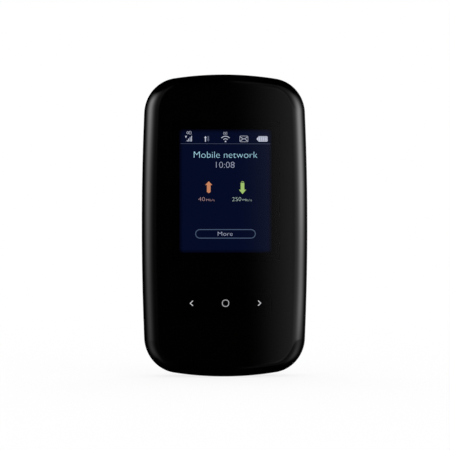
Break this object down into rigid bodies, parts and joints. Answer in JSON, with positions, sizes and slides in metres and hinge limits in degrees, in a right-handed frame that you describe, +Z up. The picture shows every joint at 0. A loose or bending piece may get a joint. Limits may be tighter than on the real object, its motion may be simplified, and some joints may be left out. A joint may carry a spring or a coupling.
{
  "type": "mobile hotspot",
  "caption": "Pocket mobile hotspot with a rolled glossy front, a small portrait display, touch keys, a clip-on rear cover, a removable battery and a SIM card.",
  "frame": {"origin": "centre of the bounding box in X and Y, at the bottom edge", "axes": "+X to the right seen from the front, +Y from the glossy front to the rear cover, +Z up to the edge that holds the power key"},
  "size_m": [0.066, 0.0154, 0.12],
  "materials": {
    "lens_clear": "clear hard-coated acrylic, polished, edges rolled back to the band",
    "black_ink": "opaque black print on the inner face of the lens",
    "adhesive": "black adhesive film",
    "foam": "fine closed-cell foam",
    "display_glass": "polished display glass",
    "light_guide": "milky light guide",
    "polyimide": "amber polyimide film with copper tracks",
    "board_green": "satin solder mask",
    "board_black": "satin black solder mask",
    "chip_black": "matte epoxy moulding",
    "lamp": "clear lamp package",
    "ceramic_parts": "glazed passive components",
    "chassis_black": "satin black moulding with a very fine grain",
    "cover_black": "matte black moulding with a fine spark-eroded grain",
    "housing_grey": "matte dark moulding",
    "tin_plate": "tin-plated pressed sheet, lightly brushed",
    "steel_dark": "black zinc plate",
    "copper": "bare copper foil",
    "gold": "thin gold plate",
    "socket_plastic": "glass-filled socket moulding",
    "thermal_pad": "soft filled silicone",
    "label_paper": "blank matte label stock",
    "battery_wrap": "satin shrink wrap over a foil cell",
    "battery_cap": "matte black cap",
    "card_white": "smooth white card",
    "key_black": "satin black key cap",
    "plunger_grey": "natural acetal"
  },
  "bodies": {
    "housing": {"front_lens": "lens_clear", "ink_mask": "black_ink", "lens_tape": "adhesive", "display_foam": "foam", "display_glass": "display_glass", "display_backlight": "light_guide", "display_flex": "polyimide", "display_connector": "socket_plastic", "key_diffuser": "light_guide", "touch_key_board": "board_black", "key_leds": "lamp", "key_flex": "polyimide", "key_connector": "socket_plastic", "mid_frame": "chassis_black", "main_board": "board_green", "shield_can_processor": "tin_plate", "shield_can_radio": "tin_plate", "shield_can_power": "tin_plate", "modem_chip": "chip_black", "memory_chip": "chip_black", "wifi_chip": "chip_black", "power_chip": "chip_black", "radio_amplifiers": "chip_black", "thermal_pad": "thermal_pad", "board_passives": "ceramic_parts", "heat_spreader": "copper", "usb_shell": "tin_plate", "usb_tongue": "socket_plastic", "usb_contacts": "gold", "power_switch": "tin_plate", "reset_switch": "tin_plate", "sim_base": "socket_plastic", "sim_contacts": "gold", "sim_holder": "tin_plate", "battery_connector": "socket_plastic", "battery_contacts": "gold", "antenna_clips": "gold", "antenna_flex_top": "copper", "antenna_flex_bottom": "copper", "bay_housing": "housing_grey", "bay_label": "label_paper", "housing_screws": "steel_dark"},
    "back_cover": {"rear_cover": "cover_black", "cover_pads": "foam"},
    "battery": {"battery_cell": "battery_wrap", "battery_cap": "battery_cap", "battery_pads": "gold"},
    "sim": {"sim_card": "card_white", "sim_chip": "gold"},
    "power_button": {"power_key": "key_black"},
    "reset_button": {"reset_plunger": "plunger_grey"}
  },
  "joints": [
    {"name": "cover_slide", "type": "slide", "parent": "housing", "child": "back_cover", "axis": [0, 1, 0], "range_m": [0, 0.03]},
    {"name": "battery_slide", "type": "slide", "parent": "housing", "child": "battery", "axis": [0, 1, 0], "range_m": [0, 0.015]},
    {"name": "sim_slide", "type": "slide", "parent": "housing", "child": "sim", "axis": [0, 0, -1], "range_m": [0, 0.0168]},
    {"name": "power_press", "type": "slide", "parent": "housing", "child": "power_button", "axis": [0, 0, -1], "range_m": [0, 0.00035], "stiffness_N_per_m": 2, "springref_m": -0.001},
    {"name": "reset_press", "type": "slide", "parent": "housing", "child": "reset_button", "axis": [0, -1, 0], "range_m": [0, 0.0003], "stiffness_N_per_m": 0.2, "springref_m": -0.001}
  ],
  "couplings": [
    {"joint": "battery_slide", "follows": "cover_slide", "ratio": 0.5},
    {"joint": "sim_slide", "follows": "cover_slide", "ratio": 0.56}
  ]
}
